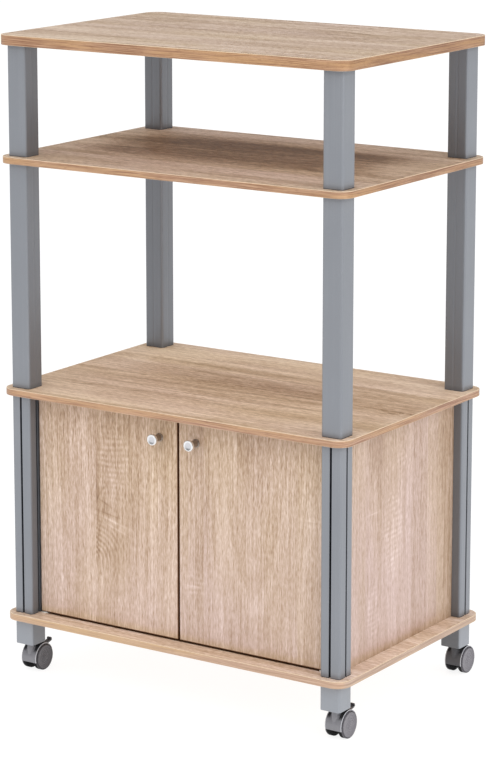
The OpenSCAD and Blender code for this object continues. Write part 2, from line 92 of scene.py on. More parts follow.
def hangLamps():
    for name, lamp in studio["lamps"].items():
        light = bpy.data.lights.new(name, "AREA")
        light.shape = "RECTANGLE"
        light.size, light.size_y = lamp["size"]
        light.energy = lamp["power"]
        holder = bpy.data.objects.new(name, light)
        holder.location = lamp["spot"]
        towards = Vector(studio["aim"]) - Vector(lamp["spot"])
        holder.rotation_euler = towards.to_track_quat("-Z", "Y").to_euler()
        bpy.context.scene.collection.objects.link(holder)


bpy.context.scene.view_settings.view_transform = studio["view"]
placeCamera()
hangLamps()
print("camera and lamps placed")


# shader writing
class Wire:  # a socket that can be used in an expression
    def __init__(self, finish, socket):
        self.finish = finish
        self.socket = socket

    def out(self, name):
        return Wire(self.finish, self.socket.node.outputs[name])

    def __add__(self, other):
        return self.finish.maths("ADD", self, other)

    def __sub__(self, other):
        return self.finish.maths("SUBTRACT", self, other)

    def __rsub__(self, other):
        return self.finish.maths("SUBTRACT", other, self)

    def __mul__(self, other):
        return self.finish.maths("MULTIPLY", self, other)

    def __truediv__(self, other):
        return self.finish.maths("DIVIDE", self, other)

    def __rtruediv__(self, other):
        return self.finish.maths("DIVIDE", other, self)

    def __pow__(self, other):
        return self.finish.maths("POWER", self, other)

    __radd__ = __add__
    __rmul__ = __mul__


class Weave:  # a node tree, with the few moves that every look is written in
    def __init__(self, tree):
        self.tree = tree

    def feed(self, socket, value):
        if isinstance(value, Wire):
            self.tree.links.new(value.socket, socket)
        elif socket.type == "RGBA" and len(value) == 3:
            socket.default_value = (*value, 1)
        else:
            socket.default_value = value

    def node(self, kind, settings=None, sockets=None):
        made = self.tree.nodes.new("ShaderNode" + kind)
        for name, value in (settings or {}).items():
            if name == "stops":
                self.setStops(made.color_ramp, value)
            else:
                setattr(made, name, value)
        if isinstance(sockets, dict):
            for name, value in sockets.items():
                self.feed(made.inputs[name], value)
        else:
            usable = [socket for socket in made.inputs if socket.enabled]
            for socket, value in zip(usable, sockets or ()):
                self.feed(socket, value)
        return Wire(self, next(socket for socket in made.outputs if socket.enabled))

    def setStops(self, ramp, stops):
        while len(ramp.elements) < len(stops):
            ramp.elements.new(1.0)
        for element, (position, colour) in zip(ramp.elements, stops):
            element.position = position
            element.color = (*colour, 1)

    def maths(self, operation, *values):
        return self.node("Math", {"operation": operation}, values)

    def clamp(self, value):
        return self.node("Math", {"operation": "ADD", "use_clamp": True}, (value, 0.0))

    def split(self, vector):
        axes = self.node("SeparateXYZ", None, (vector,))
        return {name: axes.out(name) for name in "XYZ"}

    def join(self, x, y, z):
        return self.node("CombineXYZ", None, (x, y, z))

    def noise(self, place, detail=2.0, rough=0.5, scale=1.0):
        sockets = {"Vector": place, "Scale": scale, "Detail": detail, "Roughness": rough}
        return self.node("TexNoise", None, sockets)

    def step(self, value, low, high):
        sockets = {"Value": value, "From Min": low, "From Max": high}
        return self.node("MapRange", {"interpolation_type": "SMOOTHSTEP"}, sockets)

    def ramp(self, value, stops):
        return self.node("ValToRGB", {"stops": stops}, (value,))

    def mix(self, factor, first, second, way="MIX"):
        settings = {"data_type": "RGBA", "blend_type": way}
        return self.node("Mix", settings, (factor, first, second))

    def bump(self, height, depth):
        return self.node("Bump", None, {"Strength": 1.0, "Distance": depth, "Height": height})


class Finish(Weave):  # one material
    def __init__(self, name, fixed):
        self.material = bpy.data.materials.new(name)
        self.material.use_nodes = True
        super().__init__(self.material.node_tree)
        self.tree.nodes.clear()
        self.shader = self.tree.nodes.new("ShaderNodeBsdfPrincipled")
        output = self.tree.nodes.new("ShaderNodeOutputMaterial")
        self.tree.links.new(self.shader.outputs["BSDF"], output.inputs["Surface"])
        self.dress(fixed)
        self.here = self.node("TexCoord").out("Object")

    def dress(self, sockets):
        for name, value in sockets.items():
            self.feed(self.shader.inputs[name], value)


def cover(material, *names):  # gives carried-over nodes their finish
    for name in names:
        slots = nodes[name].material_slots
        if not slots:
            nodes[name].data.materials.append(material)
        for slot in slots:
            slot.material = material


def lightSky():
    world = bpy.data.worlds.new("sky")
    world.use_nodes = True
    sky = Weave(world.node_tree)
    mirrored = sky.node("LightPath").out("Is Glossy Ray")
    background = world.node_tree.nodes["Background"]
    sky.feed(background.inputs["Color"], studio["skyColour"])
    sky.feed(background.inputs["Strength"], studio["sky"] - mirrored * (studio["sky"] - studio["mirrored"]))
    bpy.context.scene.world = world


lightSky()
print("sky lit")


# oak foil
oak = {
    "stops": [  # from the deepest pore to the palest wood
        (0.0, (0.185, 0.106, 0.058)),
        (0.25, (0.332, 0.210, 0.125)),
        (0.5, (0.475, 0.342, 0.243)),
        (0.7, (0.588, 0.446, 0.352)),
        (1.0, (0.775, 0.640, 0.545)),
    ],
    "blush": [(0.2, (1.015, 0.998, 1.055)), (0.8, (1.0, 0.982, 0.892))],  # from pink to straw
    "edge": (0.15, 0.065, 0.028),  # painted shade on the doors' narrow sides and foot, and on the cabinet floor close behind them, so the gaps read dark
    "mean": 0.62,
    # upright pieces turn from pink to straw upwards; at their head this is partly painted shade under the
    # board above
    "strawFrom": 270 * mm,
    "strawRise": 1.3,
    "foot": (97 * mm, 112 * mm),  # below this, upright pieces turn golden again, a painted reflection of the brown board below
    "footStraw": 0.7,
    "faint": 0.84,  # contrast of upright pieces low down, and what it gains higher up
    "faintGain": 0.28,
    "faintUpTo": (150 * mm, 400 * mm),
    "broadSway": 10 * mm,  # how far the grain wanders
    "fineSway": 1.6 * mm,
    "stripeWeight": 0.5,
    "ringWeight": 0.35,
    "streakWeight": 1.05,
    "fleckWeight": 0.95,
    "poreDark": 0.24,
    "strokeLight": 0.11,
    "sawLight": 0.20,
    "strayRipples": 0.15,
    "stripeWidth": 30 * mm,
    "ringWidth": 5 * mm,
    "streakWidth": 3.0 * mm,
    "streakLength": 190 * mm,
    "fleckWidth": 1.5 * mm,
    "fleckLength": 9 * mm,
    "poreWidth": 1.3 * mm,
    "poreLength": 18 * mm,
    "arcPitch": 7.0 * mm,
    "arcBend": 14 * mm,
    "arcDark": 0.32,
    "arcCalm": 0.7,  # how much of the straight grain gives way to the arcs
    "sawPitch": 8.4 * mm,
    "sawBend": 12 * mm,
    "sawSlant": 0.08,
    "doorSide": (0.3 * mm, 0.9 * mm),
    "doorFoot": (0.6 * mm, 1.4 * mm),
    "shadeBehindDoor": (-1.2 * mm, -0.4 * mm, 9 * mm, 15 * mm),
    "betweenPosts": (250 * mm, 252 * mm),
    "roughness": 0.33,
    "gloss": 0.5,
    "embossing": 0.12 * mm,
}

# Across and along are the foil's two directions. Places on a piece are (across, along) in the frame, in mm.
# streaks: place across, half width, darkness. seams: place across, step in tone, step from pink to straw.
# saws, ripples across the grain: place, half sizes, strength.
# eyes: place, reach, squash, and 1 where the knot lies at a seam and shows one half, as arcs.
# marks: place, half length, half width, lean from across in degrees, darkness.
# shades: from and to across, from and to along, soft edge, darkness, as under the board above.
oakPieces = {
    "top_board": {
        "across": "Y", "along": "X", "seed": 2.1, "tone": (1.09, 1.085, 1.06), "arch": (60, -900, 0.10),
        "contrast": 1.5, "streaks": [(110, 9, 0.14), (60, 6, 0.08), (-40, 12, 0.03), (-120, 5, 0.08)],
        "seams": [(-176, 0.06, 0.1), (20, 0.01, -0.1)], "saws": [(-60, -60, 60, 60, 0.2)], "eyes": [],
        "marks": [
            (112, -170, 20, 60, 0, 0.06), (-60, -250, 60, 60, 0, -0.05), (176, 0, 26, 500, 0, 0.12),
            (104, -150, 24, 120, 0, 0.10), (100, 180, 24, 100, 0, -0.13), (-46, 0, 18, 400, 0, -0.06),
            (-168, -200, 34, 130, 0, -0.12), (-160, 190, 30, 90, 0, 0.05),
        ],
    },
    "upper_shelf": {
        "across": "Y", "along": "X", "seed": 7.4, "tone": (1.12, 1.09, 1.04), "arch": (-40, 700, 0.12),
        "contrast": 1.6, "streaks": [(52, 10, 0.16), (0, 5, 0.12), (-45, 7, 0.14), (-90, 7, 0.14)],
        "seams": [(-106, -0.02, 0.1)], "saws": [(90, 100, 60, 60, 0.2)], "eyes": [],
        "marks": [
            # the lighter strips along the back and front edges and at both ends are painted light, where the
            # shade of the board above gives way
            (104, 0, 20, 190, 0, 0.10), (164, 0, 22, 500, 0, -0.20), (-174, 0, 26, 500, 0, -0.14),
            (0, -284, 260, 34, 0, -0.12), (20, 262, 240, 40, 0, -0.10),
        ],
        "shades": [(-104, 150, -262, 240, 56, 0.31), (-60, 148, -200, 190, 50, 0.15)],
    },
    "middle_shelf": {
        "across": "Y", "along": "X", "seed": 12.9, "tone": (1.225, 1.20, 1.12), "arch": (20, -750, 0.10),
        "contrast": 1.1, "streaks": [(88, 10, 0.22), (-10, 8, 0.16), (45, 6, 0.06), (-70, 5, 0.06)],
        "seams": [(66, 0.03, 0.15)], "saws": [(-110, -110, 50, 60, 0.2)], "eyes": [(-14, 280, 20, 0.6, 0)],
        "marks": [
            (-10, 275, 26, 3.5, 95, 0.30), (-24, 268, 14, 2.5, 70, 0.26), (2, 288, 12, 2, 110, 0.24),
            (-103, -245, 16, 2, 85, 0.18), (-111, -205, 26, 3, 75, 0.28), (-118, -172, 14, 2, 78, 0.22),
            (-108, -120, 22, 2.5, 66, 0.24), (10, 60, 70, 200, 0, 0.18), (-150, -200, 60, 90, 0, -0.05),
            (130, -200, 60, 130, 0, -0.10), (40, -240, 50, 60, 0, -0.08), (162, 20, 28, 500, 0, -0.17),
            (80, -244, 60, 30, 0, -0.10), (100, 220, 30, 60, 0, -0.10), (-50, 254, 26, 26, 0, 0.10),
            (0, -80, 26, 50, 0, 0.06), (-158, 0, 24, 500, 0, -0.05),
        ],
        "shades": [(-70, 60, -190, 200, 50, 0.04)],
    },
    "bottom_board": {
        "across": "Y", "along": "X", "seed": 18.3, "tone": (1.36, 1.385, 1.42), "arch": (-150, 500, 0.10),
        "contrast": 1.0, "streaks": [(-186, 5, 0.10)], "seams": [], "saws": [], "eyes": [], "marks": [],
    },
    "left_door": {
        "across": "X", "along": "Z", "seed": 23.7, "tone": (1.005, 1.0, 1.01), "arch": (-190, 640, 0.14),
        "contrast": 1.0, "streaks": [(-147, 2.5, 0.27), (-205, 14, 0.04), (-60, 6, 0.05)],
        "seams": [(-145, -0.03, 0.0), (-84, 0.03, 0.02), (-36, 0.01, 0.0)],
        "saws": [(-116, 345, 34, 62, 1.0), (-190, 180, 30, 40, 0.2), (-115, 130, 20, 14, 0.4)],
        "eyes": [(-150, 196, 64, 0.95, 1)],
        "marks": [
            (-134, 272, 14, 24, 0, 0.16), (-118, 258, 34, 2.4, -14, -0.20), (-112, 247, 30, 1.8, -18, -0.16),
            # the broad mark at 430, across the door's head, is painted shade under the shelf above
            (-122, 267, 22, 1.8, -10, 0.20), (-140, 298, 16, 2.2, 60, 0.16), (-130, 430, 250, 100, 0, 0.10),
            (-132, 284, 18, 1.8, -24, 0.16), (-143, 236, 26, 2.2, 84, 0.14), (-24, 215, 24, 80, 0, 0.07),
            (-119, 350, 30, 60, 0, 0.07), (-146, 290, 3, 50, 0, 0.16),
        ],
    },
    "right_door": {
        "across": "X", "along": "Z", "seed": 31.2, "tone": (1.015, 1.02, 1.07), "arch": (130, 700, 0.14),
        "contrast": 0.92, "streaks": [(34, 8, 0.09), (42, 2, 0.20), (150, 6, 0.04)],
        "seams": [(18, 0.01, 0.0), (45, 0.0, -0.02), (205, -0.03, 0.2)],
        "saws": [(229, 310, 14, 14, 0.7), (28, 186, 20, 20, 0.8), (165, 260, 25, 30, 0.2)], "eyes": [],
        # the broad mark at 430, across the door's head, is painted shade under the shelf above
        "marks": [(228, 312, 16, 1.5, 0, -0.10), (28, 183, 22, 1.8, 2, -0.10), (130, 430, 250, 100, 0, 0.12)],
    },
    "left_side_panel": {
        "across": "Y", "along": "Z", "seed": 37.8, "tone": (0.95, 0.935, 1.0), "arch": (40, 650, 0.12),
        "contrast": 0.9, "streaks": [(-110, 9, 0.12), (20, 5, 0.1)],
        "seams": [(-20, 0.04, 0.2), (78, -0.05, -0.2)], "saws": [(70, 220, 40, 70, 0.7)],
        "eyes": [(-60, 300, 30, 0.6, 0)], "marks": [(-60, 300, 12, 6, 90, 0.14)],
    },
    "right_side_panel": {
        "across": "Y", "along": "Z", "seed": 44.5, "tone": (0.95, 0.935, 1.0), "arch": (90, 800, 0.12),
        "contrast": 0.85,
        "streaks": [(118, 2, 0.10), (127, 1.5, 0.18), (140, 4, 0.12), (-62, 8, 0.05), (38, 2, 0.06)],
        "seams": [
            (-98, -0.05, -0.15), (-54, 0.07, 0.0), (30, -0.06, -0.12), (76, 0.0, 0.25), (106, -0.03, 0.45),
        ],
        "saws": [(-24, 268, 28, 66, 1.0), (-76, 160, 18, 46, 0.8), (2, 372, 16, 22, 0.7)], "eyes": [],
        "marks": [
            (-14, 250, 40, 72, 0, -0.07), (-78, 308, 22, 1.4, 0, -0.14), (-72, 385, 14, 50, 0, 0.10),
            (-70, 345, 12, 2, 60, 0.12), (125, 150, 14, 2, 75, 0.14), (122, 390, 10, 2, 80, 0.14),
            # the broad marks at 92 and 430, across the panel's foot and head, are painted shade next to the
            # boards
            (0, 92, 160, 14, 0, 0.20), (0, 430, 260, 90, 0, 0.03), (100, 370, 34, 110, 0, 0.09),
        ],
    },
    "back_panel": {
        "across": "X", "along": "Z", "seed": 52.6, "tone": (1.005, 1.0, 1.03), "arch": (-80, 700, 0.12),
        "contrast": 0.95, "streaks": [(-160, 14, 0.12), (210, 10, 0.1)],
        "seams": [(-95, 0.05, 0.2), (60, -0.04, -0.2)], "saws": [(-20, 260, 50, 70, 0.7)],
        "eyes": [(120, 200, 30, 0.6, 0)], "marks": [(120, 200, 12, 5, 90, 0.16)],
    },
}


def sawMask(finish, u, a, saws):
    mask = 0.0
    for acrossAt, alongAt, halfWide, halfLong, strength in saws:
        du = (u - acrossAt * mm) / (halfWide * mm)
        da = (a - alongAt * mm) / (halfLong * mm)
        patch = finish.clamp(1.6 - (du * du + da * da) * 1.3)
        mask = patch * strength + mask
    return mask


def shadeTone(finish, u, a, shades):  # soft fields of painted shade
    tone = 0.0
    for fromAcross, toAcross, fromAlong, toAlong, soft, darkness in shades:
        field = finish.step(u, fromAcross * mm, (fromAcross + soft) * mm)
        field = field * finish.step(u, toAcross * mm, (toAcross - soft) * mm)
        field = field * finish.step(a, fromAlong * mm, (fromAlong + soft) * mm)
        field = field * finish.step(a, toAlong * mm, (toAlong - soft) * mm)
        tone = field * darkness + tone
    return tone


def markTone(finish, u, a, marks):  # darker or lighter strokes, soft at their ends; the broad ones are also painted shade and painted light
    tone = 0.0
    for acrossAt, alongAt, halfLong, halfWide, lean, darkness in marks:
        turn = math.radians(lean)
        du = u - acrossAt * mm
        da = a - alongAt * mm
        onward = (du * math.cos(turn) + da * math.sin(turn)) / (halfLong * mm)
        aside = (da * math.cos(turn) - du * math.sin(turn)) / (halfWide * mm)
        spread = onward ** 2 + aside ** 2 + 1
        tone = darkness * 1.2 / (spread * spread) + tone
    return tone


def doorEdgeShade(finish, piece, axes):  # 1 on the narrow sides and the foot of a door, where painted shade darkens the gaps round it
    low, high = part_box(piece)
    skin, core = oak["doorSide"]
    sides = finish.step(axes["Y"], low.y + skin, low.y + core)
    sides = sides - finish.step(axes["Y"], high.y - core, high.y - skin)
    footStart, footEnd = oak["doorFoot"]
    foot = 1 - finish.step(axes["Z"], low.z + footStart, low.z + footEnd)
    return finish.maths("MAXIMUM", sides, foot)


def shadedCabinetFloor(finish, axes):  # 1 on the floor of the cabinet, close behind the doors, where painted shade darkens the gap under them
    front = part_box("left_door")[0].y
    starts, full, fades, ends = [front + off for off in oak["shadeBehindDoor"]]
    strip = finish.step(axes["Y"], starts, full) - finish.step(axes["Y"], fades, ends)
    return strip * (1 - finish.step(finish.maths("ABSOLUTE", axes["X"]), *oak["betweenPosts"]))


def oakFinish(piece, cut):
    finish = Finish("oak_" + piece, {"Specular IOR Level": oak["gloss"]})
    axes = finish.split(finish.here)
    u = axes[cut["across"]]
    a = axes[cut["along"]]
    depth = axes[({"X", "Y", "Z"} - {cut["across"], cut["along"]}).pop()]
    layer = depth * 20 + cut["seed"]
    lift = oak["mean"]
    straw = 0.0
    contrast = cut["contrast"]
    if cut["along"] == "Z":  # upright pieces are fainter low down, and golden at their head and foot: at the head partly painted shade under the board above, at the foot a painted reflection
        contrast = contrast * (oak["faint"] + oak["faintGain"] * finish.step(a, *oak["faintUpTo"]))
        straw = (a - oak["strawFrom"]) * oak["strawRise"]
        straw = straw + (1 - finish.step(a, *oak["foot"])) * oak["footStraw"]
    for acrossAt, jump, warmer in cut["seams"]:  # the foil's pattern is broken where two staves meet
        beyond = finish.step(u, (acrossAt - 0.4) * mm, (acrossAt + 0.4) * mm)
        layer = beyond * 6.5 + layer
        lift = beyond * jump + lift
        straw = beyond * warmer + straw

    def grain(across, along, detail=2.0, rough=0.5):
        return finish.noise(finish.join(across, along, layer), detail, rough)

    sway = (grain(u * 3, a * 1.3) - 0.5) * oak["broadSway"]
    sway = sway + (grain(u * 16, a * 8, 1.0) - 0.5) * oak["fineSway"]
    line = u + sway
    wave = grain(u * 8, a * 7)
    eyeTone = 0.0
    calm = 1.0
    for acrossAt, alongAt, reach, squash, half in cut["eyes"]:
        du = u - acrossAt * mm
        da = (a - alongAt * mm) * squash
        if half:
            da = finish.maths("MAXIMUM", da, 0.0)
        far = (du * du + da * da) ** 0.5
        near = finish.clamp(1.2 - far / (reach * mm))
        if half:  # arcs drawn over the straight grain, on one side of the seam
            near = near * finish.step(du, 0.5 * mm, 2 * mm)
            near = near * finish.step(a, (alongAt - 25) * mm, (alongAt + 15) * mm)
            bent = far + sway + (wave - 0.5) * oak["arcBend"]
            arcs = finish.maths("SINE", bent * (2 * math.pi / oak["arcPitch"])) * 0.5 + 0.5
            eyeTone = arcs * near * oak["arcDark"] + eyeTone
            calm = calm - near * oak["arcCalm"]
        else:  # the grain bends round the eye
            line = line + (far - u + acrossAt * mm) * near
    dark = markTone(finish, u + sway * 0.4, a, cut["marks"]) + eyeTone
    dark = dark + shadeTone(finish, line, a, cut.get("shades", []))
    for acrossAt, width, strength in cut["streaks"]:
        off = (line - acrossAt * mm) / (width * mm)
        dark = (wave * 1.6 - 0.1) * strength / (off * off + 1) + dark

    archAcross, archAlong, slope = cut["arch"]
    du = line - archAcross * mm
    da = (a - archAlong * mm) * slope
    arch = (du * du + da * da) ** 0.5
    rings = grain(arch / oak["ringWidth"], a * 3, 1.0)
    stripes = grain(line / oak["stripeWidth"], a * 1.5, 2.0)
    streaks = grain(line / oak["streakWidth"], a / oak["streakLength"], 3.0, 0.8)
    flecks = grain(line / oak["fleckWidth"], a / oak["fleckLength"], 2.0, 0.6)
    poreLine = line / oak["poreWidth"]
    poreRun = a / oak["poreLength"]
    pores = finish.step(grain(poreLine, poreRun + 30, 1.0), 0.57, 0.69) * finish.step(rings, 0.35, 0.6)
    strokes = finish.step(grain(poreLine + 40, poreRun, 1.0), 0.58, 0.70)

    patches = finish.step(grain(u * 12, a * 10, 1.0), 0.62, 0.78) * oak["strayRipples"]
    patches = patches + sawMask(finish, u, a, cut["saws"])
    rows = a - u * oak["sawSlant"] + (grain(u * 22, a * 20) - 0.5) * oak["sawBend"]
    saw = finish.maths("SINE", rows * (2 * math.pi / oak["sawPitch"])) * 0.5 + 0.5
    saw = saw * patches * finish.step(grain(line * 180, a * 50, 2.0), 0.3, 0.7)

    tone = (stripes - 0.5) * oak["stripeWeight"] + (rings - 0.5) * oak["ringWeight"]
    tone = tone + (streaks - 0.5) * calm * oak["streakWeight"] + (flecks - 0.5) * oak["fleckWeight"]
    tone = tone - pores * oak["poreDark"] + strokes * oak["strokeLight"]
    tone = tone * contrast + saw * oak["sawLight"] + lift - dark
    colour = finish.ramp(tone, oak["stops"])
    hue = grain(line * 14, a * 4.0, 1.0) + straw
    colour = finish.mix(1.0, colour, finish.ramp(hue, oak["blush"]), "MULTIPLY")
    colour = finish.mix(1.0, colour, cut["tone"], "MULTIPLY")
    # painted shade in the gaps round the doors and on the cabinet floor behind them
    if piece.endswith("_door"):
        colour = finish.mix(doorEdgeShade(finish, piece, axes), colour, oak["edge"])
    if piece == "bottom_board":
        colour = finish.mix(shadedCabinetFloor(finish, axes), colour, oak["edge"])
    relief = flecks * 0.5 - pores * 0.6 + saw * 0.3
    finish.dress({
        "Base Color": colour,
        "Roughness": pores * 0.12 + (flecks - 0.5) * 0.15 + oak["roughness"],
        "Normal": finish.bump(relief, oak["embossing"]),
    })
    return finish.material


for pieceName, cut in oakPieces.items():
    cover(oakFinish(pieceName, cut), pieceName)
print("oak foil on", len(oakPieces), "pieces")


# edge bands
bands = {
    "boards": ["top_board", "upper_shelf", "middle_shelf", "bottom_board"],
    "corner": 22 * mm,
    "cornerSteps": 14,
    "rounding": 0.5 * mm,
    "roundingSteps": 3,
    "arrisWidth": 0.3 * mm,
    "tones": {
        "top_board": (0.84, 0.79, 0.80),
        "upper_shelf": (0.89, 0.87, 0.92),
        "middle_shelf": (0.89, 0.87, 1.02),
        "bottom_board": (0.99, 1.07, 1.26),
    },
    "endShadeTones": {  # painted shade: the two short sides are a little deeper, as less light falls on them than on the front
        "top_board": (0.85, 0.82, 0.79),
        "upper_shelf": (0.88, 0.84, 0.79),
        "middle_shelf": (0.98, 0.99, 0.96),
        "bottom_board": (0.94, 1.0, 1.07),
    },
    "ends": (295 * mm, 299 * mm),
    "dark": (0.285, 0.140, 0.068),
    "darkBelow": (0.417, 0.242, 0.139),  # the lowest band's figure is fainter
    "light": (0.615, 0.395, 0.245),
    "gold": (0.575, 0.355, 0.170),
    # a paler cut edge along the band's top, with a painted highlight on it
    "arris": (0.72, 0.56, 0.39),
    "lineWidth": 1.4 * mm,
    "sway": 5 * mm,
    "fleckAmount": 0.45,
    "gloss": 0.4,
    "roughness": 0.45,
    "embossing": 0.1 * mm,
}


def bandFinish(board):
    finish = Finish("band_" + board, {"Specular IOR Level": bands["gloss"]})
    tone, endTone = bands["tones"][board], bands["endShadeTones"][board]
    dark = bands["darkBelow"] if board == "bottom_board" else bands["dark"]
    axes = finish.split(finish.here)
    run = (axes["X"] + axes["Y"]) * 9  # changes along the band on every side
    sway = (finish.noise(finish.join(run, axes["Z"] * 40, 3.0), 2.0) - 0.5) * bands["sway"]
    height = axes["Z"] + sway
    lines = finish.noise(finish.join(run * 1.4, height / bands["lineWidth"], 8.0), 3.0, 0.6)
    flecks = finish.step(finish.noise(finish.join(run * 9, height * 900, 15.0), 1.0), 0.58, 0.7)
    drift = finish.noise(finish.join(run * 0.5, height * 60, 21.0), 2.0)
    light = finish.mix(finish.step(drift, 0.35, 0.65), bands["light"], bands["gold"])
    colour = finish.mix(finish.step(lines + (drift - 0.5) * 0.5, 0.3, 0.66), dark, light)
    colour = finish.mix(flecks * bands["fleckAmount"], colour, dark)
    colour = finish.mix(1.0, colour, tone, "MULTIPLY")
    ends = finish.step(finish.maths("ABSOLUTE", axes["X"]), *bands["ends"])
    colour = finish.mix(ends, colour, finish.mix(1.0, colour, endTone, "MULTIPLY"))
    # the arris gets a paler cut edge and a painted highlight
    arris = finish.node("Attribute", {"attribute_name": "arris"}).out("Fac")
    colour = finish.mix(arris, colour, bands["arris"])
    finish.dress({
        "Base Color": colour,
        "Roughness": (lines - 0.5) * 0.2 + bands["roughness"],
        "Normal": finish.bump(lines - flecks * 0.5, bands["embossing"]),
    })
    return finish.material


def roundedOutline(halfX, halfY, radius, steps):
    corners = [(1, 1, 0), (-1, 1, 90), (-1, -1, 180), (1, -1, 270)]
    for sideX, sideY, start in corners:
        for k in range(steps + 1):
            angle = math.radians(start + 90 * k / steps)
            centre = Vector((sideX * (halfX - radius), sideY * (halfY - radius)))
            yield centre, Vector((math.cos(angle), math.sin(angle)))


def bandSection(inner, thick):  # (inset, height, arris) round the band's own cross-section
    r = bands["rounding"]
    edge = bands["arrisWidth"]
    section = [(inner, 0, 0), (inner, thick, 1), (r, thick, 1)]
    for k in range(1, bands["roundingSteps"] + 1):
        turn = math.pi / 2 * k / bands["roundingSteps"]
        section.append((r - r * math.sin(turn), thick - r + r * math.cos(turn), 1))
    section += [(0, thick - r - edge, 0), (0, r + edge / 2, 0)]
    for k in range(bands["roundingSteps"] + 1):
        turn = math.pi / 2 * k / bands["roundingSteps"]
        section.append((r - r * math.cos(turn), r - r * math.sin(turn), 0.5))
    return section


def newPiece(name, bm, material, body, replaced, crease=35):
    mesh = bpy.data.meshes.new(name)
    bmesh.ops.recalc_face_normals(bm, faces=bm.faces)
    bm.to_mesh(mesh)
    bm.free()
    mesh.materials.append(material)
    mesh.shade_smooth()
    mesh.set_sharp_from_angle(angle=math.radians(crease))
    piece = bpy.data.objects.new(name, mesh)
    bpy.context.scene.collection.objects.link(piece)
    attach(piece, body)
    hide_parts(*replaced)


def buildBand(board):
    low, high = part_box(board)
    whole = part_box("edge_bands")
    inner = low.x - whole[0].x
    middle = (low + high) / 2
    halfX = (high.x - low.x) / 2 + inner
    halfY = (high.y - low.y) / 2 + inner
    section = bandSection(inner, high.z - low.z)
    bm = bmesh.new()
    arris = bm.verts.layers.float.new("arris")
    rings = []
    for centre, outward in roundedOutline(halfX, halfY, bands["corner"], bands["cornerSteps"]):
        ring = []
        for inset, height, light in section:
            spot = centre + outward * (bands["corner"] - inset)
            vert = bm.verts.new((middle.x + spot.x, middle.y + spot.y, low.z + height))
            vert[arris] = light
            ring.append(vert)
        rings.append(ring)
    for ring, after in zip(rings, rings[1:] + rings[:1]):
        for k in range(len(section)):
            n = (k + 1) % len(section)
            bm.faces.new((ring[k], ring[n], after[n], after[k]))
    newPiece("band_" + board, bm, bandFinish(board), "cart", ["edge_bands"])


for board in bands["boards"]:
    buildBand(board)
print("edge bands round", len(bands["boards"]), "boards")


# silver posts, feet and other plain finishes
fineBump = 0.02 * mm  # the touch of moulded plastic and of plated metal

posts = {
    "colour": (0.258, 0.271, 0.297),
    "fleck": (0.345, 0.360, 0.390),
    # painted shade: the colour of the grooves' depths, of the joint shadows, and of the shade close to the
    # boards and on the inner sides
    "groove": (0.020, 0.024, 0.032),
    "metallic": 0.5,
    "gloss": 0.5,
    "roughness": 0.40,
    "embossing": 0.03 * mm,
    "grooveShadeStarts": 1.2 * mm,  # how far under the face painted shade turns a groove dark
    "grooveShadeSoft": 0.4 * mm,
    # a thin painted shadow where a post meets a board
    "jointShadowWidth": 1.6 * mm,
    "jointShadowDark": 0.8,
    "underShade": 9 * mm,  # painted shade close to a board, under and over it
    "underDark": 0.16,
    "innerShade": (0.21, 0.30),  # between the posts less light comes in, across and from front to back
    # painted shade on the feet's inner sides, across and from front to back
    "footShade": (0.40, 0.62),
    "innerEdge": (0.2 * mm, 1.6 * mm),
}


def outFromPost(finish, axes):  # how far outward a place lies from its post's middle, sideways and in depth
    low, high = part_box("middle_post_front_right")
    middle = (low + high) / 2
    cartMiddle = (low.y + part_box("middle_post_back_right")[1].y) / 2
    dx = finish.maths("ABSOLUTE", axes["X"]) - middle.x
    dy = finish.maths("ABSOLUTE", axes["Y"] - cartMiddle) + (middle.y - cartMiddle)
    return dx, dy


def fromPost(finish, axes):
    return [finish.maths("ABSOLUTE", off) for off in outFromPost(finish, axes)]


def innerSides(finish, axes, node, *darkness):  # the two sides that face the space between the posts, where painted shade goes
    low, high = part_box(node)
    half = (high.x - low.x) / 2
    skin, core = posts["innerEdge"]
    shade = 0.0
    for off, dark in zip(outFromPost(finish, axes), darkness):
        inner = 1 - finish.step(off, skin - half, core - half)
        shade = finish.maths("MAXIMUM", inner * dark, shade)
    return shade


def nearEnds(finish, z, reach):  # 1 where a post or foot meets a board; the painted shadow and painted shade close to the boards follow it
    near = 0.0
    for board in bands["boards"]:
        low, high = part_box(board)
        off = finish.maths("ABSOLUTE", z - (low.z + high.z) / 2) - (high.z - low.z) / 2
        near = finish.maths("MAXIMUM", 1 - finish.step(off, reach * 0.3, reach), near)
    return near


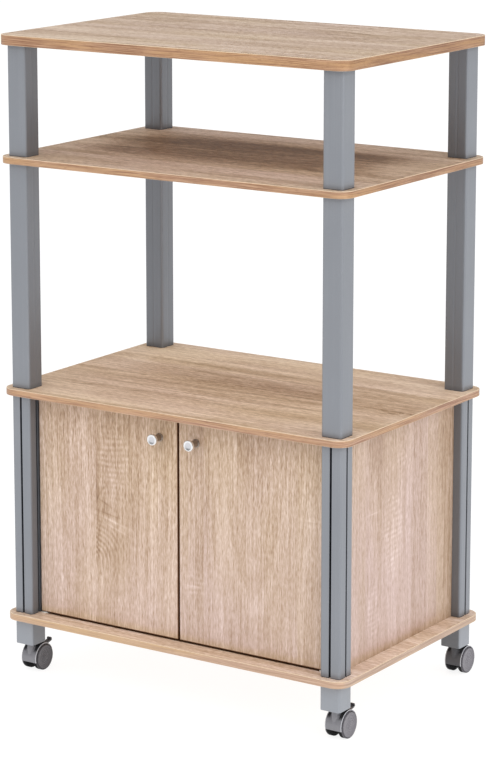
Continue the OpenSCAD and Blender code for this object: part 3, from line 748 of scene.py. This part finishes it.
def postFinish():
    finish = Finish("post_silver", {"Specular IOR Level": posts["gloss"]})
    axes = finish.split(finish.here)
    low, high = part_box("middle_post_front_right")
    skin = (high.x - low.x) / 2 - posts["grooveShadeStarts"]
    off = finish.maths("MAXIMUM", *fromPost(finish, axes))
    # painted shade deep in the grooves
    sunk = 1 - finish.step(off, skin - posts["grooveShadeSoft"], skin)
    # painted shadow along the joints with the boards
    joint = nearEnds(finish, axes["Z"], posts["jointShadowWidth"])
    fleck = finish.noise(finish.here, 2.0, 0.7, 1500)
    drawn = finish.noise(finish.join(axes["X"] * 260, axes["Y"] * 260, axes["Z"] * 2.5), 2.0)
    cloud = finish.noise(finish.here, 2.0, 0.5, 14)
    amount = finish.step(fleck, 0.45, 0.75) * 0.35 + (drawn - 0.5) * 0.6 + (cloud - 0.5) * 0.5
    coat = finish.mix(finish.clamp(amount), posts["colour"], posts["fleck"])
    # painted shade close to the boards and on the sides between the posts
    shade = nearEnds(finish, axes["Z"], posts["underShade"]) * posts["underDark"]
    shade = innerSides(finish, axes, "middle_post_front_right", *posts["innerShade"]) + shade
    coat = finish.mix(finish.maths("MAXIMUM", joint * posts["jointShadowDark"], shade), coat, posts["groove"])
    finish.dress({
        "Base Color": finish.mix(sunk, coat, posts["groove"]),
        "Metallic": posts["metallic"] - sunk * posts["metallic"],
        "Roughness": (fleck - 0.5) * 0.12 + (drawn - 0.5) * 0.08 + sunk * 0.3 + posts["roughness"],
        "Normal": finish.bump(fleck + drawn * 0.5, posts["embossing"]),
    })
    return finish.material


plastics = {
    "foot_plastic": {
        "colour": (0.258, 0.273, 0.301), "other": (0.288, 0.304, 0.332), "roughness": 0.40, "grain": 2600,
    },
    "lever_plastic": {
        "colour": (0.07, 0.07, 0.076), "other": (0.10, 0.10, 0.107), "roughness": 0.26, "grain": 2600,
    },
    "dark_plastic": {
        "colour": (0.02, 0.02, 0.021), "other": (0.03, 0.03, 0.031), "roughness": 0.5, "grain": 1800,
    },
    "white_plastic": {
        "colour": (0.76, 0.74, 0.68), "other": (0.80, 0.78, 0.73), "roughness": 0.42, "grain": 2000,
    },
    "magnet": {
        "colour": (0.045, 0.045, 0.048), "other": (0.075, 0.07, 0.07), "roughness": 0.55, "grain": 1400,
    },
}


def plasticFinish(name, look):
    finish = Finish(name, {"Specular IOR Level": 0.5})
    speck = finish.noise(finish.here, 2.0, 0.6, look["grain"])
    cloud = finish.noise(finish.here, 3.0, 0.55, 60)
    colour = finish.mix(finish.clamp(cloud * 0.7 + speck * 0.3), look["colour"], look["other"])
    if name == "foot_plastic":
        axes = finish.split(finish.here)
        # painted shade on the feet's inner sides
        shade = innerSides(finish, axes, "foot_front_right", *posts["footShade"])
        colour = finish.mix(shade, colour, plastics["dark_plastic"]["colour"])
    finish.dress({
        "Base Color": colour,
        "Roughness": (speck - 0.5) * 0.14 + (cloud - 0.5) * 0.12 + look["roughness"],
        "Normal": finish.bump(speck, fineBump),
    })
    return finish.material


caster = {
    "colour": (0.175, 0.172, 0.186),
    "other": (0.225, 0.221, 0.238),
    # colour of the painted highlight on the hoods' outer edges
    "edge": (0.52, 0.52, 0.55),
    "shade": (0.007, 0.007, 0.008),
    "highlightAt": (12.5 * mm, 12.7 * mm),  # a painted highlight along the hoods' outer edges, from the middle of the caster
    "neck": (6.6 * mm, 8.0 * mm),
    "crown": (29 * mm, 35 * mm),  # above this the hood is in the shade of the foot
    "crownDark": 0.93,
    "mouth": (11.5 * mm, 13.0 * mm),  # below this it is open, and painted shade makes it dark
    "backHalf": (0, 1 * mm),
    "under": (2 * mm, 16 * mm),  # the back pair's hoods are in shade where they look under the cart
    "underDark": 0.68,
    "gloss": 0.45,
    "roughness": 0.24,
}


def casterFinish():
    finish = Finish("caster_plastic", {"Specular IOR Level": caster["gloss"]})
    axes = finish.split(finish.here)
    dx, dy = fromPost(finish, axes)
    speck = finish.noise(finish.here, 2.0, 0.6, 2200)
    cloud = finish.noise(finish.here, 3.0, 0.55, 160)
    colour = finish.mix(finish.clamp(cloud * 0.8 + speck * 0.2), caster["colour"], caster["other"])
    beside = finish.step((dx * dx + dy * dy) ** 0.5, *caster["neck"])
    crown = finish.step(axes["Z"], *caster["crown"]) * beside
    mouth = 1 - finish.step(axes["Z"], *caster["mouth"])
    shaded = finish.maths("MAXIMUM", crown * caster["crownDark"], mouth)
    inward = 1 - finish.step(outFromPost(finish, axes)[1], *caster["under"])
    under = finish.step(axes["Y"], *caster["backHalf"]) * inward * caster["underDark"]
    shaded = finish.maths("MAXIMUM", shaded, under)
    colour = finish.mix(shaded, colour, caster["shade"])
    # painted highlight along the hoods' outer edges
    colour = finish.mix(finish.step(dx, *caster["highlightAt"]), colour, caster["edge"])
    finish.dress({
        "Base Color": colour,
        "Roughness": shaded * 0.6 + (speck - 0.5) * 0.1 + (cloud - 0.5) * 0.12 + caster["roughness"],
        "Normal": finish.bump(speck, fineBump),
    })
    return finish.material


metals = {
    "steel": {"colour": (0.52, 0.53, 0.54), "other": (0.64, 0.65, 0.66), "roughness": 0.34, "grain": 900},
    "brass_insert": {
        "colour": (0.66, 0.50, 0.25), "other": (0.76, 0.60, 0.32), "roughness": 0.3, "grain": 900,
    },
}


def metalFinish(name, look):
    finish = Finish(name, {"Metallic": 1.0})
    cloud = finish.noise(finish.here, 3.0, 0.6, look["grain"] / 6)
    turned = finish.noise(finish.here, 2.0, 0.6, look["grain"])
    finish.dress({
        "Base Color": finish.mix(cloud, look["colour"], look["other"]),
        "Roughness": (cloud - 0.5) * 0.25 + (turned - 0.5) * 0.1 + look["roughness"],
        "Normal": finish.bump(turned, fineBump),
    })
    return finish.material


bySlot = {}
for row in frame["record"]["subparts"]:
    bySlot.setdefault(row["material_slot"], []).append(row["node"])
cover(postFinish(), *bySlot["post_silver"])
cover(casterFinish(), *bySlot["caster_plastic"])
for name, look in plastics.items():
    cover(plasticFinish(name, look), *bySlot[name])
for name, look in metals.items():
    cover(metalFinish(name, look), *bySlot[name])
print("posts, plastics and metals finished")


# turned pieces
def turnedMesh(profile, steps, axis, base):  # profile is (distance along the axis, radius), from end to end
    bm = bmesh.new()
    spin = Vector((0, 0, 1)).rotation_difference(Vector(axis)).to_matrix().to_4x4()
    place = Matrix.Translation(base) @ spin
    rings = []
    for along, radius in profile:
        if radius == 0:
            rings.append([bm.verts.new(place @ Vector((0, 0, along)))])
            continue
        ring = []
        for k in range(steps):
            angle = 2 * math.pi * k / steps
            spot = Vector((radius * math.cos(angle), radius * math.sin(angle), along))
            ring.append(bm.verts.new(place @ spot))
        rings.append(ring)
    for ring, after in zip(rings, rings[1:]):
        for k in range(steps):
            n = (k + 1) % steps
            corners = [ring[k % len(ring)], ring[n % len(ring)], after[n % len(after)], after[k % len(after)]]
            bm.faces.new(list(dict.fromkeys(corners)))  # a ring of one point gives triangles
    return bm


def arc(centre, radius, start, end, steps):  # points of a round edge in a profile
    for k in range(steps + 1):
        angle = math.radians(start + (end - start) * k / steps)
        yield (centre[0] + radius * math.sin(angle), centre[1] + radius * math.cos(angle))


knob = {  # lengths of the profile in mm
    "length": 21.0,
    "headRadius": 8.25,
    "headThick": 4.4,
    "stemRadius": 5.0,
    "baseRadius": 5.8,
    "baseThick": 1.4,
    "baseRound": 0.5,
    "baseFillet": 1.2,
    "headFillet": 3.2,
    "headRound": 0.6,
    "rim": 1.1,
    "lip": 1.0,
    "lipSunk": 0.15,
    "dishDepth": 0.6,
    "dishPower": 3.0,
    "dishSteps": 8,
    "steps": 48,
    "rimColour": (0.93, 0.93, 0.94),
    "dishColour": (0.66, 0.66, 0.685),
    # painted reflection of the wood and painted shade, on the stem and base
    "stemShadeAndReflection": (0.30, 0.25, 0.21),
    "haze": (0.6, 0.6, 0.61),
    "hazeAmount": 0.3,
    "dishEnds": (4.2 * mm, 6.4 * mm),
    "headStarts": (12 * mm, 15.5 * mm),
    "roughness": 0.31,
    "turningPitch": 0.25 * mm,
    "turningDepth": 0.012 * mm,
}


def knobProfile():
    length, head, rim = knob["length"], knob["headRadius"], knob["rim"]
    base, fillet, neck, edge = knob["baseRound"], knob["baseFillet"], knob["headFillet"], knob["headRound"]
    under = length - knob["headThick"]
    points = [(0, 0), (0, knob["baseRadius"])]
    points += arc((knob["baseThick"] - base, knob["baseRadius"] - base), base, 0, 90, 3)
    points += arc((knob["baseThick"] + fillet, knob["stemRadius"] + fillet), -fillet, 90, 0, 4)
    points += arc((under - neck, knob["stemRadius"] + neck), -neck, 0, -80, 6)
    points += arc((under + edge, head - edge), edge, -90, 0, 3)
    points += arc((length - rim, head - rim), rim, 0, 100, 7)
    dishRadius = head - rim - knob["lip"]
    for k in range(knob["dishSteps"]):
        share = 1 - k / knob["dishSteps"]
        sunk = knob["dishDepth"] * (1 - share ** knob["dishPower"])
        points.append((length - knob["lipSunk"] - sunk, dishRadius * share))
    points.append((length - knob["lipSunk"] - knob["dishDepth"], 0))
    return [(along * mm, radius * mm) for along, radius in points]


def knobFinish(name, centre, face):
    finish = Finish(name, {"Metallic": 1.0, "Anisotropic": 0.3})
    axes = finish.split(finish.here)
    dx = axes["X"] - centre.x
    dz = axes["Z"] - centre.z
    radius = (dx * dx + dz * dz) ** 0.5
    proud = face - axes["Y"]
    pitch = knob["turningPitch"]
    turned = finish.noise(finish.join(radius / pitch, proud / pitch, 0.0), 2.0, 0.7)
    cloud = finish.noise(finish.here, 2.0, 0.5, 120)
    colour = finish.mix(finish.step(radius, *knob["dishEnds"]), knob["dishColour"], knob["rimColour"])
    # painted reflection of the wood and painted shade on the stem and base
    colour = finish.mix(finish.step(proud, *knob["headStarts"]), knob["stemShadeAndReflection"], colour)
    colour = finish.mix(cloud * knob["hazeAmount"], colour, knob["haze"])
    finish.dress({
        "Base Color": colour,
        "Roughness": (turned - 0.5) * 0.16 + (cloud - 0.5) * 0.08 + knob["roughness"],
        "Normal": finish.bump(turned, knob["turningDepth"]),
    })
    return finish.material


def buildKnob(side):
    low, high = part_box(side + "_knob")
    centre = (low + high) / 2
    base = Vector((centre.x, high.y, centre.z))
    bm = turnedMesh(knobProfile(), knob["steps"], (0, -1, 0), base)
    material = knobFinish(side + "_knob_nickel", centre, high.y)
    newPiece(side + "_turned_knob", bm, material, side + "_door_leaf", [side + "_knob"], 50)


for side in ("left", "right"):
    buildKnob(side)
print("knobs turned")


# wheels
wheel = {  # lengths of the profile in mm
    "radius": 20.0,
    "width": 8.5,
    "capRadius": 18.4,
    "capRise": 0.5,
    "tyreSunk": 0.9,
    "innerShadeEnds": (12 * mm, 13 * mm),  # painted shade on the wheels' inner parts, from the middle of the caster
    "edge": 0.8,
    "bore": 2.6,
    "boreDepth": 6.5,
    "boreEdge": 0.3,
    "innerFace": [(0, 5.5), (0.8, 6.0), (0.8, 15.0), (0, 15.6)],  # a flat ring pressed into it
    "innerFlat": 0.2,
    "capRound": 0.6,
    "capLip": (1.6, 2.0),
    "capFace": [(0.18, 4.0), (0.1, 3.6), (0.05, 2.0), (0.05, 0)],  # how far sunk, and at what radius
    "steps": 72,
    "groove": 0.6,  # between the cap and the tread
    "grooveFloor": (0.5, 0.1),
    # painted shade: in the groove round each cap, on the wheels' inner parts and on the caps that look under
    # the cart
    "shadeColour": (0.008, 0.008, 0.009),
    "tread": (0.5, 0.5, 0.51),  # against the cap's own colour
    "cap": (0.132, 0.125, 0.140),
    "capLight": (0.197, 0.187, 0.206),
    "inwardShade": 0.55,  # on the caps that look under the cart
    "gloss": 0.3,
    "roughness": 0.27,
}


def wheelProfile():  # from the inner face's bore to the outer cap's middle
    r, w, edge = wheel["radius"], wheel["width"], wheel["edge"]
    cap, capRound, bore = wheel["capRadius"], wheel["capRound"], wheel["bore"]
    flat = w - wheel["capRise"]
    floor = flat - wheel["tyreSunk"]
    outside, inside = wheel["grooveFloor"]
    lipStart, lipEnd = wheel["capLip"]
    points = [(wheel["boreDepth"], 0), (wheel["boreDepth"], bore)]
    points += [(wheel["boreEdge"], bore), (0, bore + wheel["boreEdge"])]
    points += wheel["innerFace"]
    points += [(0, r - edge - wheel["innerFlat"])]
    points += arc((edge, r - edge), edge, -90, 0, 5)
    points += arc((flat - edge, r - edge), edge, 0, 90, 5)
    points += [(flat, cap + wheel["groove"]), (floor, cap + outside), (floor, cap + inside)]
    points += arc((w - capRound, cap - capRound), capRound, 0, 90, 4)
    points += [(w, cap - lipStart), (w - wheel["capFace"][0][0], cap - lipEnd)]
    points += [(w - sunk, radius) for sunk, radius in wheel["capFace"]]
    return [(along * mm, radius * mm) for along, radius in points]


def wheelFinish(name, hub, shade):
    finish = Finish(name, {"Specular IOR Level": wheel["gloss"]})
    axes = finish.split(finish.here)
    dy = axes["Y"] - hub.y
    dz = axes["Z"] - hub.z
    radius = (dy * dy + dz * dz) ** 0.5
    rim = wheel["capRadius"] * mm
    outer = finish.step(radius, rim - 0.05 * mm, rim + 0.1 * mm)
    groove = rim + wheel["groove"] * mm
    tread = finish.step(radius, groove - 0.1 * mm, groove + 0.1 * mm)
    inner = 1 - finish.step(fromPost(finish, axes)[0], *wheel["innerShadeEnds"])
    # painted shade in the groove round the cap and on the wheels' inner parts
    dark = finish.maths("MAXIMUM", outer - tread, inner)
    speck = finish.noise(finish.here, 2.0, 0.6, 2000)
    turn = finish.maths("ARCTAN2", dy, dz)
    scuff = finish.noise(finish.join(radius * 900, axes["X"] * 300, turn * 1.5), 2.0)
    cap = finish.mix(finish.clamp(scuff * 0.8 + speck * 0.2), wheel["cap"], wheel["capLight"])
    cap = finish.mix(tread, cap, finish.mix(1.0, cap, wheel["tread"], "MULTIPLY"))
    cap = finish.mix(shade, cap, wheel["shadeColour"])
    finish.dress({
        "Base Color": finish.mix(dark, cap, wheel["shadeColour"]),
        "Roughness": dark * 0.6 + outer * 0.12 + (scuff - 0.5) * 0.2 + wheel["roughness"],
        "Normal": finish.bump(speck + scuff * 0.4, fineBump),
    })
    return finish.material


def buildWheels():
    for end in ("front", "back"):
        for side in ("left", "right"):
            for mark, outward in (("a", -1), ("b", 1)):
                stem = f"wheel_{end}_{side}_{mark}"
                low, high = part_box(stem)
                hub = (low + high) / 2
                base = Vector((high.x if outward < 0 else low.x, hub.y, hub.z))
                bm = turnedMesh(wheelProfile(), wheel["steps"], (outward, 0, 0), base)
                inward = (side == "left") == (outward > 0)
                material = wheelFinish(stem + "_finish", hub, wheel["inwardShade"] if inward else 0.0)
                newPiece(stem + "_moulded", bm, material, stem + "_body", [stem], 40)


buildWheels()
print("wheels moulded")


# floor
def layFloor():
    finish = Finish("sweep_paper", {"Roughness": 0.9, "Specular IOR Level": 0.0})
    cloud = finish.noise(finish.here, 2.0, 0.5, 0.8)
    pale = studio["floorColour"]
    finish.dress({
        "Base Color": finish.mix(cloud, pale, tuple(0.99 * part for part in pale)),
        "Emission Color": pale,
        "Emission Strength": studio["floorGlow"],
    })
    bm = bmesh.new()
    bmesh.ops.create_grid(bm, x_segments=4, y_segments=4, size=studio["floorSide"] / 2)
    mesh = bpy.data.meshes.new("floor")
    bm.to_mesh(mesh)
    bm.free()
    mesh.materials.append(finish.material)
    floor = bpy.data.objects.new("floor", mesh)
    bpy.context.scene.collection.objects.link(floor)


layFloor()
print("floor laid")
